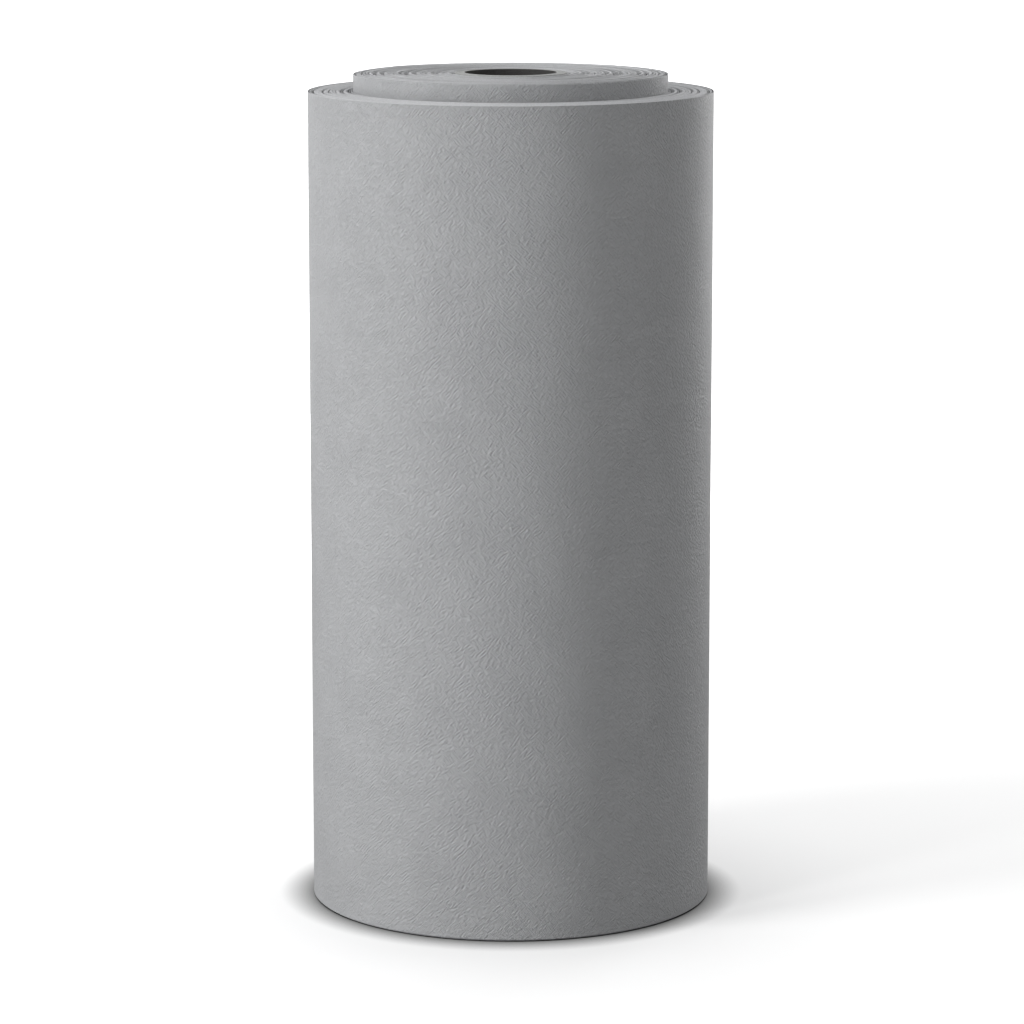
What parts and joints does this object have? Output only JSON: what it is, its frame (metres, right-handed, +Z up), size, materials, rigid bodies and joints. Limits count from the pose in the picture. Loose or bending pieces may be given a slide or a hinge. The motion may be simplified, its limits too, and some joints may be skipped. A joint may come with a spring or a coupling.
{
  "type": "backdrop paper roll",
  "caption": "Upright roll of grey seamless background paper on a chipboard core, its inner turns slipped up and its taped free end able to lift.",
  "frame": {"origin": "middle of the lower end of the roll, on the floor, on the roll's axis", "axes": "+Z up along the roll's axis, -Y towards the front, the sheet's free edge at the back left"},
  "size_m": [0.3358, 0.3364, 0.695],
  "materials": {
    "backdrop_paper": "matte, fine embossed tooth",
    "grey_chipboard": "matte, spiral wound",
    "paper_tape": "creped, matte"
  },
  "bodies": {
    "outer_pack": {"sheet_outer_turns": "backdrop_paper"},
    "middle_pack": {"sheet_middle_turns": "backdrop_paper"},
    "inner_pack": {"core_tube": "grey_chipboard", "core_start_tape": "paper_tape", "sheet_inner_turns": "backdrop_paper"},
    "tail_root": {"sheet_tail_root": "backdrop_paper"},
    "tail_middle": {"sheet_tail_middle": "backdrop_paper"},
    "tail_edge": {"sheet_tail_edge": "backdrop_paper", "tail_tape_top": "paper_tape", "tail_tape_middle": "paper_tape", "tail_tape_bottom": "paper_tape"}
  },
  "joints": [
    {"name": "middle_slip", "type": "slide", "parent": "outer_pack", "child": "middle_pack", "axis": [0, 0, 1], "range_m": [-0.015, 0.085]},
    {"name": "inner_slip", "type": "slide", "parent": "middle_pack", "child": "inner_pack", "axis": [0, 0, 1], "range_m": [0, 0.1]},
    {"name": "tail_lift", "type": "hinge", "parent": "outer_pack", "child": "tail_root", "pos_m": [0.10814, 0.12896, 0], "axis": [0, 0, -1], "range_deg": [0, 30], "stiffness_Nm_per_rad": 0.05},
    {"name": "tail_middle_lift", "type": "hinge", "parent": "tail_root", "child": "tail_middle", "pos_m": [0.02922, 0.16585, 0], "axis": [0, 0, -1], "range_deg": [0, 30], "stiffness_Nm_per_rad": 0.05},
    {"name": "tail_edge_lift", "type": "hinge", "parent": "tail_middle", "child": "tail_edge", "pos_m": [-0.05757, 0.15833, 0], "axis": [0, 0, -1], "range_deg": [0, 30], "stiffness_Nm_per_rad": 0.05}
  ],
  "couplings": [
    {"joint": "tail_middle_lift", "follows": "tail_lift", "ratio": 1},
    {"joint": "tail_edge_lift", "follows": "tail_lift", "ratio": 1}
  ]
}
